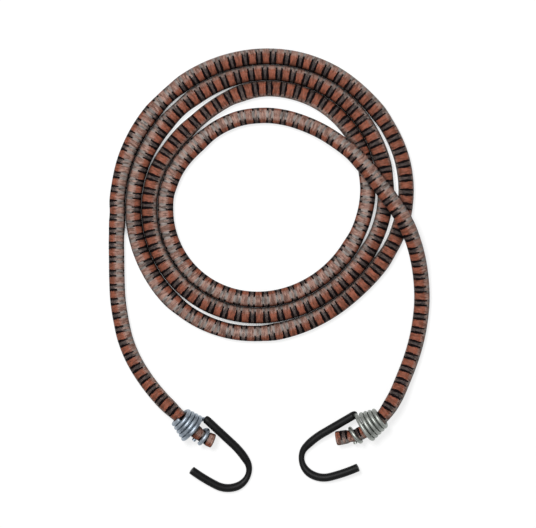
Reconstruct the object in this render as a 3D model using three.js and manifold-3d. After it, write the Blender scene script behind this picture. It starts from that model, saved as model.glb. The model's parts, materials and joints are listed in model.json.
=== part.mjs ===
// A bungee cord lying on the floor in a flat coil, with a sprung wire hook on each end.
// Millimetres, +Z up, floor at z = 0, origin under the middle of the whole cord.
// Each end is built along its own x axis, which runs from the cord out to the hook.

import * as THREE from 'three';
import { mergeVertices } from 'three/addons/utils/BufferGeometryUtils.js';
import Module from 'manifold-3d';

// Fits
const CLEARANCE = 0.3;
const FLOOR_CLEARANCE = 0.1;
const SECTION_SIDES = 8;
const WIRE_SIDES = 6;

// Cord: a braided sheath round seven square rubber strands, one in the middle of six
const CORD_DIAMETER = 10;
const SHEATH_WALL = 1.3;
const STRAND_GAP = 0.35;
const STRANDS_ROUND = 6;
const FLOOR_FLAT = CORD_DIAMETER / 10;

// Coil: one flat layer of slightly oval loops that spiral inwards from the left
const COIL_CENTRE = new THREE.Vector2(-3.9, 47.6);
const COIL_RADIUS = 96.9;
const COIL_OVAL = 2.6;
const COIL_OVAL_HEADING = THREE.MathUtils.degToRad(47);
const COIL_GAP = 0.75;
const COIL_TURNS = 3;
const STEPS_PER_LOOP = 24;
const COIL_END_RUN = CORD_DIAMETER;
const INNER_END_HEADING = THREE.MathUtils.degToRad(75);

// Swells: the turns at which a loop lies out of or into the spiral, how many turns either side
// that takes, and how far out it goes
const COIL_SWELLS = [
  { at: 0.5, reach: 0.14, out: 4.1 },
  { at: 0.8, reach: 0.14, out: 1.5 },
  { at: 1.13, reach: 0.13, out: -1 },
  { at: 1.52, reach: 0.13, out: 1.5 },
  { at: 2.13, reach: 0.13, out: -3.8 },
];

// Tails: points chosen by hand, as x, y and the rise off the floor in cord diameters
const TAIL_STEP = 14;
const LEFT_TAIL = [
  [-101.3, 19.7, 0],
  [-101.2, 6.3, 0],
  [-101, -7, 0],
  [-100.3, -20.3, 0],
  [-98.3, -33.7, 0],
  [-95.2, -47, 0.02],
  [-89.7, -60.3, 0.08],
  [-81.3, -73.7, 0.26],
  [-71.2, -85.8, 0.64],
  [-65.2, -91.6, 0.84],
];
const RIGHT_TAIL = [
  [-62.4, 65.2, 0],
  [-56.2, 74.4, 0],
  [-45.7, 85.2, 0],
  [-33.5, 94.6, 0],
  [-18.8, 100.8, 0],
  [-2.3, 102.7, 0],
  [10, 101.4, 0.02],
  [21, 98.3, 0.1],
  [34.3, 92.4, 0.42],
  [46, 84.8, 0.82],
  [55.7, 77, 1.06],
  [64.6, 67.4, 1.1],
  [74.3, 55, 1.1],
  [82.4, 44.2, 1.1],
  [89.7, 32.8, 1.08],
  [95.6, 19.8, 0.86],
  [99.5, 6.3, 0.5],
  [101.6, -7, 0.18],
  [102.2, -20.3, 0.03],
  [101.1, -33.7, 0],
  [98.6, -47, 0.03],
  [94.6, -60.3, 0.14],
  [89.2, -73.7, 0.4],
  [83.6, -85.6, 0.74],
];

// Spring: the conical winding that holds the hook on the cord
const WIRE_DIAMETER = 2.4;
const NECK_DIAMETER = 8.7;
const SPRING_TURNS = 4.6;
const SPRING_GAP = 0.45;
const SPRING_WIDE_DIAMETER = 21.3;
const SPRING_STEPS = 12;
const SPRING_EXIT_ANGLE = THREE.MathUtils.degToRad(-45);
const SPRING_EXIT_LENGTH = 2.8;
const SPRING_EXIT_PULL = 3;
const SPRING_EXIT_STEPS = 5;

// Hook: a straight shank, the bends that the wire runs through after it, and a nearly straight tip arm
const TURNING_GAP = 0.52;
const SHANK_END = 39.3;
const SHOULDER_BEND = { radius: 53, turn: THREE.MathUtils.degToRad(16), steps: 2 };
const TIGHT_BEND = { radius: 10.9, turn: THREE.MathUtils.degToRad(44), steps: 2 };
const CROWN_BEND = { radius: 12.6, turn: THREE.MathUtils.degToRad(60), steps: 3 };
const WIDE_BEND = { radius: 17, turn: THREE.MathUtils.degToRad(44), steps: 2 };
const ARM_RADIUS = 115;
const ARM_LENGTH = 20;
const ARM_STEPS = 2;
const SLEEVE_WALL = 1.1;
const SLEEVE_TIP = 1.5;
const SLEEVE_THINNED = 0.2;

// Stub: the neck of cord inside the spring, pinched by the clip, and its cut end
const STUB_LEAD = 0.6;
const CLIP_WIRE = 2.5;
const CLIP_GAP = 1.5;
const CLIP_STEPS = 14;
const CLIP_SWEEP = THREE.MathUtils.degToRad(340);
const CLIP_LEG = 1.8;
const PINCH_DIAMETER = 7.4;
const PINCH_RUN_OUT = 2.2;

// Ends: where each spring's narrow mouth lies, which way the hook points and which side is up,
// how far past the spring the cord is clipped, and how far past the clip it is cut
const ENDS = [
  {
    side: 'left', mouth: [-58.9, -97.5], heading: THREE.MathUtils.degToRad(-43.5),
    over: 1, clipPastSpring: 6.9, cutPastClip: 7.5,
  },
  {
    side: 'right', mouth: [74.9, -98.2], heading: THREE.MathUtils.degToRad(-149),
    over: -1, clipPastSpring: 8.8, cutPastClip: 11.1,
  },
];

// Sizes that follow from the ones above
const CORD_RADIUS = CORD_DIAMETER / 2;
const NECK_RADIUS = NECK_DIAMETER / 2;
const NECK_SCALE = NECK_DIAMETER / CORD_DIAMETER;
const WIRE_RADIUS = WIRE_DIAMETER / 2;
const REST_HEIGHT = CORD_RADIUS - FLOOR_FLAT;
const COIL_PITCH = CORD_DIAMETER + COIL_GAP;
const FLAT_TO_CORNER = 1 / Math.cos(Math.PI / SECTION_SIDES);
const BORE_RADIUS = CORD_RADIUS - SHEATH_WALL;
const SPRING_PITCH = WIRE_DIAMETER + SPRING_GAP;
const SPRING_LENGTH = SPRING_PITCH * SPRING_TURNS;
const SPRING_NARROW = (NECK_RADIUS + CLEARANCE + WIRE_RADIUS) / Math.cos(Math.PI / SPRING_STEPS);
const SPRING_WIDE = SPRING_WIDE_DIAMETER / 2 - WIRE_RADIUS;
const SLEEVE_BORE = (WIRE_RADIUS + CLEARANCE) * FLAT_TO_CORNER;
const SLEEVE_RADIUS = SLEEVE_BORE + SLEEVE_WALL;
const SHANK_START = SPRING_LENGTH + SPRING_EXIT_LENGTH;
const STUB_START = -WIRE_RADIUS - STUB_LEAD;

// The outer strands touch neither the bore nor each other: their corners stop short of its flats
const STRAND_ROW = Math.sin(2 * Math.PI / STRANDS_ROUND);
const STRAND_SPACING = (BORE_RADIUS / FLAT_TO_CORNER - STRAND_GAP + STRAND_GAP * Math.SQRT1_2)
  / (1 + STRAND_ROW * Math.SQRT1_2);
const STRAND_SIDE = STRAND_SPACING * STRAND_ROW - STRAND_GAP;

// The hook's shank clears the clip and the cut end all the way round
const CLIP_LEAD = CLIP_WIRE + CLIP_GAP;
const CLIP_RADIUS = (PINCH_DIAMETER / 2 + CLEARANCE + CLIP_WIRE / 2)
  / Math.cos(CLIP_SWEEP / CLIP_STEPS / 2);
const CLIP_OPENING = Math.PI - CLIP_SWEEP / 2;
const CLIP_REACH = Math.hypot(
  CLIP_RADIUS * Math.cos(CLIP_OPENING) + CLIP_LEG,
  CLIP_RADIUS * Math.sin(CLIP_OPENING) + CLIP_WIRE / 2,
);
const STUB_SWAY = CLIP_REACH - NECK_RADIUS;
const PINCH_HALF_LENGTH = CLIP_LEAD / 2 + CLEARANCE;
const SHANK_OFFSET = CLIP_REACH + TURNING_GAP + SLEEVE_RADIUS;
const CROWN_AT = Math.max(...hookPoints(SHANK_START, ARM_LENGTH).map((point) => point.x));

// An end lies on the widest turn of its spring and on the bend of its hook
const END_PITCH = Math.asin(
  (SPRING_WIDE + WIRE_RADIUS - SLEEVE_RADIUS) / (CROWN_AT - SPRING_LENGTH),
);
const END_HEIGHT = FLOOR_CLEARANCE + SPRING_LENGTH * Math.sin(END_PITCH)
  + (SPRING_WIDE + WIRE_RADIUS) * Math.cos(END_PITCH);

const UP = new THREE.Vector3(0, 0, 1);

// Materials
function material(name, color, roughness, metalness = 0) {
  return new THREE.MeshStandardMaterial({ name, color, roughness, metalness });
}
const braid = () => material('braided_sheath', 0xd9692f, 0.85);
const rubber = () => material('rubber', 0xc9b48a, 0.7);
const zinc = () => material('zinc_wire', 0xb9c0c4, 0.3, 1);
const vinyl = () => material('black_vinyl', 0x15161a, 0.42);

// A run of ring centres that a section is swept along, with a ring on every point.
// Rings stay level with the given up direction, or turn as little as they can without one.
class Route extends THREE.Curve {
  constructor(points, { up = null, first = null, last = null } = {}) {
    super();
    this.points = points;
    this.up = up;
    this.first = first;
    this.last = last;
  }

  getPoint(t, target = new THREE.Vector3()) {
    const place = t * (this.points.length - 1);
    const index = Math.min(Math.floor(place), this.points.length - 2);
    return target.lerpVectors(this.points[index], this.points[index + 1], place - index);
  }

  getSpacedPoints() {
    return this.points;
  }

  ringTangents() {
    const legs = this.points.slice(1).map((point, i) => point.clone().sub(this.points[i]).normalize());
    const tangents = this.points.map((_, i) => {
      const before = legs[Math.max(i - 1, 0)];
      const after = legs[Math.min(i, legs.length - 1)];
      return before.clone().add(after).normalize();
    });
    tangents[0] = this.first ?? tangents[0];
    tangents[tangents.length - 1] = this.last ?? tangents[tangents.length - 1];
    return tangents;
  }

  computeFrenetFrames() {
    const tangents = this.ringTangents();
    const normals = [];
    const binormals = [];
    let reference = this.up ?? this.points[1].clone().sub(this.points[0]).cross(UP);
    for (const tangent of tangents) {
      const normal = reference.clone().cross(tangent).normalize();
      const binormal = tangent.clone().cross(normal).normalize();
      normals.push(normal);
      binormals.push(binormal);
      reference = this.up ?? binormal;
    }
    return { tangents, normals, binormals };
  }
}

function sweep(shape, route) {
  return new THREE.ExtrudeGeometry(shape, {
    steps: route.points.length - 1,
    curveSegments: 1,
    bevelEnabled: false,
    extrudePath: route,
  });
}

// Sections
function polygon(radius, sides) {
  const corners = [];
  for (let i = 0; i < sides; i += 1) {
    const angle = 2 * Math.PI * (i + 0.5) / sides;
    corners.push(new THREE.Vector2(radius * Math.cos(angle), radius * Math.sin(angle)));
  }
  return corners;
}

// The polygon with everything below the given height cut off flat
function cutBelow(corners, height) {
  const kept = [];
  corners.forEach((corner, i) => {
    const next = corners[(i + 1) % corners.length];
    if (corner.y >= height) kept.push(corner);
    if ((corner.y - height) * (next.y - height) < 0) {
      kept.push(corner.clone().lerp(next, (height - corner.y) / (next.y - corner.y)));
    }
  });
  return kept;
}

function sheathSection(scale, flatUnderside) {
  const outline = polygon(CORD_RADIUS * scale, SECTION_SIDES);
  const shape = new THREE.Shape(flatUnderside ? cutBelow(outline, -REST_HEIGHT) : outline);
  const bore = polygon(BORE_RADIUS * scale, SECTION_SIDES);
  shape.holes.push(new THREE.Path(bore.reverse()));
  return shape;
}

function strandCentres() {
  const centres = [new THREE.Vector2(0, 0)];
  for (let i = 0; i < STRANDS_ROUND; i += 1) {
    const angle = 2 * Math.PI * i / STRANDS_ROUND;
    centres.push(new THREE.Vector2(Math.cos(angle), Math.sin(angle)).multiplyScalar(STRAND_SPACING));
  }
  return centres;
}

function strandSection(centre, scale) {
  const half = STRAND_SIDE / 2;
  const corners = [[half, half], [-half, half], [-half, -half], [half, -half]];
  return new THREE.Shape(
    corners.map(([x, y]) => new THREE.Vector2(centre.x + x, centre.y + y).multiplyScalar(scale)),
  );
}

// Solids for cuts
const wasm = await Module();
wasm.setup();

function toSolid(geometry) {
  const bare = geometry.clone();
  bare.deleteAttribute('normal');
  bare.deleteAttribute('uv');
  const merged = mergeVertices(bare);
  return new wasm.Manifold(new wasm.Mesh({
    numProp: 3,
    vertProperties: Float32Array.from(merged.attributes.position.array),
    triVerts: Uint32Array.from(merged.index.array),
  }));
}

function toGeometry(solid) {
  const mesh = solid.getMesh();
  const geometry = new THREE.BufferGeometry();
  geometry.setAttribute('position', new THREE.BufferAttribute(mesh.vertProperties, mesh.numProp));
  geometry.setIndex(new THREE.BufferAttribute(mesh.triVerts, 1));
  return geometry;
}

// The sheath and its strands along one stretch of cord, as separate meshes
function cordStretch(stretch, route, { scale = 1, flatUnderside = true, shapeUp = (g) => g } = {}) {
  const group = new THREE.Group();
  const sheath = new THREE.Mesh(shapeUp(sweep(sheathSection(scale, flatUnderside), route)), braid());
  sheath.name = `sheath_${stretch}`;
  group.add(sheath);
  strandCentres().forEach((centre, i) => {
    const strand = new THREE.Mesh(shapeUp(sweep(strandSection(centre, scale), route)), rubber());
    strand.name = `strand_${i + 1}_${stretch}`;
    group.add(strand);
  });
  return group;
}

// Least free gap of a wound tube to itself, between points more than half a turn apart
function leastSelfGap(points, stepsPerTurn, diameter) {
  let least = Infinity;
  for (let i = 0; i < points.length; i += 1) {
    for (let j = i + Math.ceil(stepsPerTurn / 2); j < points.length; j += 1) {
      least = Math.min(least, points[i].distanceTo(points[j]) - diameter);
    }
  }
  return least;
}

// Coil
const OUTER_END_DIRECTION = new THREE.Vector3(0, 1, 0);
const INNER_END_DIRECTION = new THREE.Vector3(
  Math.cos(INNER_END_HEADING), Math.sin(INNER_END_HEADING), 0,
);

function swell(turns) {
  return COIL_SWELLS.reduce((sum, { at, reach, out }) => {
    const share = Math.min(Math.abs(turns - at) / reach, 1);
    return sum + out * Math.cos(share * Math.PI / 2) ** 2;
  }, 0);
}

function coilPoints() {
  const points = [];
  for (let i = 0; i <= COIL_TURNS * STEPS_PER_LOOP; i += 1) {
    const turns = i / STEPS_PER_LOOP;
    const angle = Math.PI - 2 * Math.PI * turns;
    const oval = COIL_OVAL * Math.cos(2 * (angle - COIL_OVAL_HEADING));
    const radius = COIL_RADIUS - COIL_PITCH * turns + oval + swell(turns);
    points.push(new THREE.Vector3(
      COIL_CENTRE.x + radius * Math.cos(angle),
      COIL_CENTRE.y + radius * Math.sin(angle),
      REST_HEIGHT,
    ));
  }
  points.unshift(points[0].clone().addScaledVector(OUTER_END_DIRECTION, -COIL_END_RUN));
  points.push(points[points.length - 1].clone().addScaledVector(INNER_END_DIRECTION, COIL_END_RUN));
  return points;
}

const coilRun = coilPoints();
const coil = cordStretch('coil', new Route(coilRun, {
  up: UP, first: OUTER_END_DIRECTION, last: INNER_END_DIRECTION,
}));

// Tails
function tailRoute(coilEnd, leaving, chosen, mouth, arriving) {
  const start = coilEnd.clone().addScaledVector(leaving, CLEARANCE);
  const rest = chosen.map(([x, y, rise]) => new THREE.Vector3(x, y, REST_HEIGHT + rise * CORD_DIAMETER));
  const end = mouth.clone().addScaledVector(arriving, STUB_START - CLEARANCE);
  const curve = new THREE.CatmullRomCurve3([start, ...rest, end], false, 'centripetal');
  const rings = curve.getSpacedPoints(Math.round(curve.getLength() / TAIL_STEP));
  rings.forEach((ring) => ring.setZ(Math.max(ring.z, REST_HEIGHT)));
  return new Route(rings, { up: UP, first: leaving, last: arriving });
}

// Hook wire and its sleeve, which share the shank, bends and tip arm
function hookPoints(start, armLength) {
  const arm = { radius: ARM_RADIUS, turn: armLength / ARM_RADIUS, steps: ARM_STEPS };
  const place = new THREE.Vector3(SHANK_END, SHANK_OFFSET, 0);
  const points = [new THREE.Vector3(start, SHANK_OFFSET, 0), place.clone()];
  let heading = 0;
  for (const { radius, turn, steps } of [SHOULDER_BEND, TIGHT_BEND, CROWN_BEND, WIDE_BEND, arm]) {
    const chord = 2 * radius * Math.sin(turn / steps / 2);
    for (let i = 0; i < steps; i += 1) {
      const middle = heading - turn / steps / 2;
      place.add(new THREE.Vector3(Math.cos(middle), Math.sin(middle), 0).multiplyScalar(chord));
      points.push(place.clone());
      heading -= turn / steps;
    }
  }
  return points;
}

function springPoints() {
  const points = [];
  const steps = Math.round(SPRING_TURNS * SPRING_STEPS);
  for (let i = 0; i <= steps; i += 1) {
    const share = i / steps;
    const radius = THREE.MathUtils.lerp(SPRING_NARROW, SPRING_WIDE, share);
    const angle = SPRING_EXIT_ANGLE - 2 * Math.PI * SPRING_TURNS * (1 - share);
    points.push(new THREE.Vector3(
      SPRING_LENGTH * share, radius * Math.cos(angle), radius * Math.sin(angle),
    ));
  }
  return points;
}

// The wire leaves the last turn in a bend that ends along the shank
function springExit(from) {
  const along = new THREE.Vector3(0, -Math.sin(SPRING_EXIT_ANGLE), Math.cos(SPRING_EXIT_ANGLE));
  const to = new THREE.Vector3(SHANK_START, SHANK_OFFSET, 0);
  const bend = new THREE.CubicBezierCurve3(
    from,
    from.clone().addScaledVector(along, SPRING_EXIT_PULL),
    to.clone().sub(new THREE.Vector3(SPRING_EXIT_PULL, 0, 0)),
    to,
  );
  return bend.getSpacedPoints(SPRING_EXIT_STEPS).slice(1, -1);
}

const spring = springPoints();

function hookWire(side) {
  const exit = springExit(spring[spring.length - 1]);
  const wireArm = ARM_LENGTH - SLEEVE_TIP - CLEARANCE;
  const route = new Route([...spring, ...exit, ...hookPoints(SHANK_START, wireArm)]);
  const mesh = new THREE.Mesh(sweep(new THREE.Shape(polygon(WIRE_RADIUS, WIRE_SIDES)), route), zinc());
  mesh.name = `hook_wire_${side}`;
  return mesh;
}

// Draws a sleeve's rings in towards its middle line, round the tight bend and the middle of the crown
function thinned(geometry, points) {
  const position = geometry.attributes.position;
  const first = 2 + SHOULDER_BEND.steps;
  const thin = points.slice(first, first + TIGHT_BEND.steps + CROWN_BEND.steps - 1);
  const corner = new THREE.Vector3();
  for (let i = 0; i < position.count; i += 1) {
    corner.fromBufferAttribute(position, i);
    const middle = points.reduce((a, b) => (corner.distanceTo(b) < corner.distanceTo(a) ? b : a));
    if (thin.includes(middle)) {
      corner.lerp(middle, SLEEVE_THINNED);
      position.setXYZ(i, corner.x, corner.y, corner.z);
    }
  }
  return geometry;
}

function hookSleeve(side) {
  const sleeveStart = SHANK_START + CLEARANCE;
  const outside = new Route(hookPoints(sleeveStart, ARM_LENGTH), { up: UP });
  const inside = new Route(hookPoints(sleeveStart - CLEARANCE, ARM_LENGTH - SLEEVE_TIP), { up: UP });
  const tube = sweep(new THREE.Shape(polygon(SLEEVE_RADIUS, SECTION_SIDES)), outside);
  const skin = toSolid(thinned(tube, outside.points));
  const bore = toSolid(sweep(new THREE.Shape(polygon(SLEEVE_BORE, SECTION_SIDES)), inside));
  const mesh = new THREE.Mesh(toGeometry(skin.subtract(bore)), vinyl());
  mesh.name = `hook_sleeve_${side}`;
  return mesh;
}

// Stub: rings along the axis, closer together at the pinch
function stubRoute(clipAt, cutAt) {
  const waist = PINCH_HALF_LENGTH + PINCH_RUN_OUT;
  const rings = [
    STUB_START,
    SPRING_LENGTH,
    clipAt - waist,
    clipAt - PINCH_HALF_LENGTH,
    clipAt + PINCH_HALF_LENGTH,
    clipAt + waist,
    cutAt,
  ];
  return new Route(rings.map((x) => new THREE.Vector3(x, 0, 0)), { up: UP });
}

// Draws the rings under the clip in towards the axis
function pinched(geometry, clipAt) {
  const position = geometry.attributes.position;
  const squeeze = PINCH_DIAMETER / NECK_DIAMETER;
  const reach = PINCH_HALF_LENGTH + PINCH_RUN_OUT / 2;
  for (let i = 0; i < position.count; i += 1) {
    if (Math.abs(position.getX(i) - clipAt) < reach) {
      position.setY(i, position.getY(i) * squeeze);
      position.setZ(i, position.getZ(i) * squeeze);
    }
  }
  return geometry;
}

// Bends what lies past the spring towards the shank
function swayed(geometry, cutAt) {
  const position = geometry.attributes.position;
  for (let i = 0; i < position.count; i += 1) {
    const share = Math.max(0, (position.getX(i) - SPRING_LENGTH) / (cutAt - SPRING_LENGTH));
    position.setY(i, position.getY(i) + STUB_SWAY * share * share);
  }
  return geometry;
}

// Clip: one turn of wire round the pinched cord, with both ends turned out beside each other
function clip(side, clipAt, cutAt) {
  const points = [];
  for (let i = 0; i <= CLIP_STEPS; i += 1) {
    const share = i / CLIP_STEPS;
    const angle = CLIP_SWEEP * (share - 0.5);
    points.push(new THREE.Vector3(
      clipAt + CLIP_LEAD * (share - 0.5),
      CLIP_RADIUS * Math.cos(angle),
      CLIP_RADIUS * Math.sin(angle),
    ));
  }
  const leg = new THREE.Vector3(0, -CLIP_LEG, 0);
  points.unshift(points[0].clone().add(leg));
  points.push(points[points.length - 1].clone().add(leg));
  const shape = new THREE.Shape(polygon(CLIP_WIRE / 2, WIRE_SIDES));
  const mesh = new THREE.Mesh(swayed(sweep(shape, new Route(points)), cutAt), zinc());
  mesh.name = `clip_${side}`;
  return mesh;
}

// One end of the cord: stub, clip, hook wire and sleeve, turned to lie on the floor
function cordEnd({ side, mouth, heading, over, clipPastSpring, cutPastClip }) {
  const along = new THREE.Vector3(
    Math.cos(heading) * Math.cos(END_PITCH),
    Math.sin(heading) * Math.cos(END_PITCH),
    -Math.sin(END_PITCH),
  );
  const across = UP.clone().cross(along).normalize().multiplyScalar(over);
  const normal = along.clone().cross(across);
  const group = new THREE.Group();
  group.position.set(mouth[0], mouth[1], END_HEIGHT);
  group.quaternion.setFromRotationMatrix(new THREE.Matrix4().makeBasis(along, across, normal));
  const clipAt = SPRING_LENGTH + clipPastSpring;
  const cutAt = clipAt + cutPastClip;
  group.add(cordStretch(`${side}_stub`, stubRoute(clipAt, cutAt), {
    scale: NECK_SCALE,
    flatUnderside: false,
    shapeUp: (geometry) => swayed(pinched(geometry, clipAt), cutAt),
  }));
  group.add(clip(side, clipAt, cutAt), hookWire(side), hookSleeve(side));
  return { group, along };
}

// Assembly
const bungee = new THREE.Group();
bungee.name = 'bungee_cord';
bungee.add(coil);

const coilEnds = [
  { at: coilRun[0], leaving: OUTER_END_DIRECTION.clone().negate(), chosen: LEFT_TAIL },
  { at: coilRun[coilRun.length - 1], leaving: INNER_END_DIRECTION, chosen: RIGHT_TAIL },
];
ENDS.forEach((end, i) => {
  const { group, along } = cordEnd(end);
  const { at, leaving, chosen } = coilEnds[i];
  const route = tailRoute(at, leaving, chosen, group.position, along);
  bungee.add(cordStretch(`${end.side}_tail`, route), group);
});

const coilSelfGap = leastSelfGap(coilRun, STEPS_PER_LOOP, CORD_DIAMETER);
const springSelfGap = leastSelfGap(spring, SPRING_STEPS, WIRE_DIAMETER);
console.log(`least gap of the coil to itself: ${coilSelfGap.toFixed(2)} mm`);
console.log(`least gap of each spring to itself: ${springSelfGap.toFixed(2)} mm`);

export default bungee;
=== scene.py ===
"""A bungee cord coiled on the floor: braided sheath, rubber core, sprung wire hooks, sleeves and clips."""

import json
import math

import bpy
import numpy as np
from mathutils import Matrix, Vector


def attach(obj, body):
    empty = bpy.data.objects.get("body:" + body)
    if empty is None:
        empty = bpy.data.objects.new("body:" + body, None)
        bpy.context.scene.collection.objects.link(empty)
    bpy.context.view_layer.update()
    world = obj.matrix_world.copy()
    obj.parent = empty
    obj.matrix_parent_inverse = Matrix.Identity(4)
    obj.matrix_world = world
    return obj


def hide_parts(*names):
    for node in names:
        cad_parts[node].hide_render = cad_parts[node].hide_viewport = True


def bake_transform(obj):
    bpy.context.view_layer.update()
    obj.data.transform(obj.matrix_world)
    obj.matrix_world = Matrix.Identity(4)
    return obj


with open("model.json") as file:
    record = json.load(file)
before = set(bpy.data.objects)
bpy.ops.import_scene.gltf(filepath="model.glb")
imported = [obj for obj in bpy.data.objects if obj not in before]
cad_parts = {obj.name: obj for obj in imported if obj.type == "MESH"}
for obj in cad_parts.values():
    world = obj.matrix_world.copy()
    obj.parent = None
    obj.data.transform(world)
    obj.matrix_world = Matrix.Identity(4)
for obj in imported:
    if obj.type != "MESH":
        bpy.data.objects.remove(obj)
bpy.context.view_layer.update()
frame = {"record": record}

# Cord, in metres
CORD_DIAMETER = 0.010
CORD_RADIUS = CORD_DIAMETER / 2
CUT_RADIUS = 0.0047
NECK_RADIUS = 0.0044
NECK_RUN = 0.012
PINCH_RADIUS = 0.0039
PINCH_HALF_LENGTH = 0.0022
PINCH_RUN_OUT = 0.0022

# Cord where it lies flattened, the rise at which it is round again, and how near the floor its braid is
REST_HEIGHT = 0.004
REST_LIFT = 0.0006
REST_HALF_HEIGHT = 0.0047
HALF_WIDTH = 0.0051
LIFTED = 0.3 * CORD_DIAMETER
FLOOR_TOUCH = 0.00005

# Loops that press together: the half width they can reach, the gap left, and how far apart along the cord
TOUCHING_WIDTH = 0.00585
TOUCHING_GAP = 0.0003
APART_ALONG = 0.06

# Coil: one flat layer of slightly oval loops that spiral inwards from the left
COIL_CENTRE = (-0.0039, 0.0476)
COIL_RADIUS = 0.0969
COIL_OVAL = 0.0026
COIL_OVAL_HEADING = math.radians(47)
COIL_PITCH = 0.01075
COIL_TURNS = 3
STEPS_PER_LOOP = 24
COIL_END_RUN = 0.010
INNER_END_HEADING = math.radians(75)

# Swells: the turns at which a loop lies off the spiral, the turns either side, and how far out
COIL_SWELLS = (
    (0.5, 0.14, 0.0041),
    (0.8, 0.14, 0.0015),
    (1.13, 0.13, -0.0010),
    (1.52, 0.13, 0.0015),
    (2.13, 0.13, -0.0038),
)

# Tails: points, as x, y and the rise off the floor in cord diameters
LEFT_TAIL = (
    (-0.1013, 0.0197, 0),
    (-0.1012, 0.0063, 0),
    (-0.1010, -0.0070, 0),
    (-0.1003, -0.0203, 0),
    (-0.0983, -0.0337, 0),
    (-0.0952, -0.0470, 0.02),
    (-0.0897, -0.0603, 0.08),
    (-0.0813, -0.0737, 0.26),
    (-0.0712, -0.0858, 0.64),
    (-0.0652, -0.0916, 0.84),
)
RIGHT_TAIL = (
    (-0.0624, 0.0652, 0),
    (-0.0562, 0.0744, 0),
    (-0.0457, 0.0852, 0),
    (-0.0335, 0.0946, 0),
    (-0.0188, 0.1008, 0),
    (-0.0023, 0.1027, 0),
    (0.0100, 0.1014, 0.02),
    (0.0210, 0.0983, 0.1),
    (0.0343, 0.0924, 0.42),
    (0.0460, 0.0848, 0.82),
    (0.0557, 0.0770, 1.06),
    (0.0646, 0.0674, 1.1),
    (0.0743, 0.0550, 1.1),
    (0.0824, 0.0442, 1.1),
    (0.0897, 0.0328, 1.08),
    (0.0956, 0.0198, 0.86),
    (0.0995, 0.0063, 0.5),
    (0.1016, -0.0070, 0.18),
    (0.1022, -0.0203, 0.03),
    (0.1011, -0.0337, 0),
    (0.0986, -0.0470, 0.03),
    (0.0946, -0.0603, 0.14),
    (0.0892, -0.0737, 0.4),
    (0.0836, -0.0856, 0.74),
)

# Ends: the side of the hook that is up, where the cord is clipped and cut, and how far its stub bows
ENDS = {
    "left": {"over": 1, "clip_at": 0.02001, "cut_at": 0.02751, "bow": 0},
    "right": {"over": -1, "clip_at": 0.02191, "cut_at": 0.03301, "bow": -0.0022},
}
STUB_SWAY = 0.00307
STUB_STEPS = 5

# Route: the step of its curve, the rings between path points, and the share of the way from the coil to a
# hook's swivel at which a tail's held point lies
ROUTE_STEP = 0.0008
PATH_STEP = 12
STRETCH_ENDS_AT = 0.93

# Braid: how far along the cord a yarn goes in one turn, and the mesh steps in that
BRAID_REPEAT = 0.0093
RINGS_PER_REPEAT = 32
RING_SIDES = 16
ROUND_STEPS = 2 * RING_SIDES
RELIEF = 0.00016

# Twist of the braid along the route, in degrees at a share of its length
TWIST = (
    (0.0, -15),
    (0.008, -30),
    (0.0125, -88),
    (0.022, -86),
    (0.035, -66),
    (0.05, -38),
    (0.065, -28),
    (0.09, -30),
    (0.11, -18),
    (0.125, 20),
    (0.14, 54),
    (0.155, 64),
    (0.185, 54),
    (0.2, 60),
    (0.215, 92),
    (0.255, 92),
    (0.275, 110),
    (0.29, 150),
    (0.31, 184),
    (0.335, 213),
    (0.35, 218),
    (0.38, 212),
    (0.395, 244),
    (0.42, 249),
    (0.45, 238),
    (0.47, 248),
    (0.485, 280),
    (0.5, 308),
    (0.55, 300),
    (0.59, 306),
    (0.62, 284),
    (0.665, 272),
    (0.69, 296),
    (0.71, 345),
    (0.755, 365),
    (0.8, 382),
    (0.83, 384),
    (0.86, 366),
    (0.89, 385),
    (0.92, 396),
    (0.945, 428),
    (0.975, 432),
    (1.0, 400),
)

# The rim of a cut end, as shares of its radius and how far past the cut each ring stands
CUT_RIMS = ((0.94, 0.0003), (0.82, 0.0002), (0.74, -0.0015))

# Rubber strands: how many the solids have, and the finer bundle that shows in the cut ends
STRAND_COUNT = 7
STRAND_ROWS = 3
STRAND_PITCH = 0.00112
STRAND_ROW_PITCH = 0.9 * STRAND_PITCH
STRAND_SIDE = 0.00092
STRAND_TURN = 0.4
STRAND_BUNDLE = 0.0029
STRAND_DEPTH = 0.003
STRAND_PROUD = 0.0003
STRAND_SEED = 8
STRAND_FACES = ((0, 1, 5, 4), (1, 2, 6, 5), (2, 3, 7, 6), (3, 0, 4, 7), (3, 2, 1, 0), (4, 5, 6, 7))

# Spring, and the bend in which its last turn runs into the shank
WIRE_RADIUS = 0.00136
WIRE_EDGE = 0.0003
WIRE_SIDES = 20
SPRING_TURNS = 4.6
SPRING_LENGTH = 0.01311
SPRING_NARROW = 0.0061
SPRING_WIDE = 0.00945
SPRING_STEPS = 40
SPRING_EXIT_ANGLE = math.radians(-45)
SPRING_EXIT_LENGTH = 0.0028
SPRING_EXIT_PULL = 0.003
SPRING_EXIT_STEPS = 12

# Hook: its shank, its bends as radius and degrees turned, its arm, and how far short of that the wire stops
SHANK_OFFSET = 0.010661
SHANK_START = SPRING_LENGTH + SPRING_EXIT_LENGTH
SHANK_END = 0.0393
SHANK_STEPS = 24
SHOULDER_BEND = (0.053, 16)
TIGHT_BEND = (0.0109, 44)
CROWN_BEND = (0.0126, 60)
WIDE_BEND = (0.017, 44)
BEND_STEP = 0.0008
ARM_RADIUS = 0.115
ARM_LENGTH = 0.020
WIRE_SHORT = 0.0018

# Sleeve, which is drawn thin where the tight bend ends
SLEEVE_RADIUS = 0.00272
SLEEVE_THINNED = 0.28
SLEEVE_THIN_REACH = 0.0135
SLEEVE_EXIT_POINTS = 3
SLEEVE_EDGE = 0.0004
SLEEVE_SIDES = 28

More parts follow.
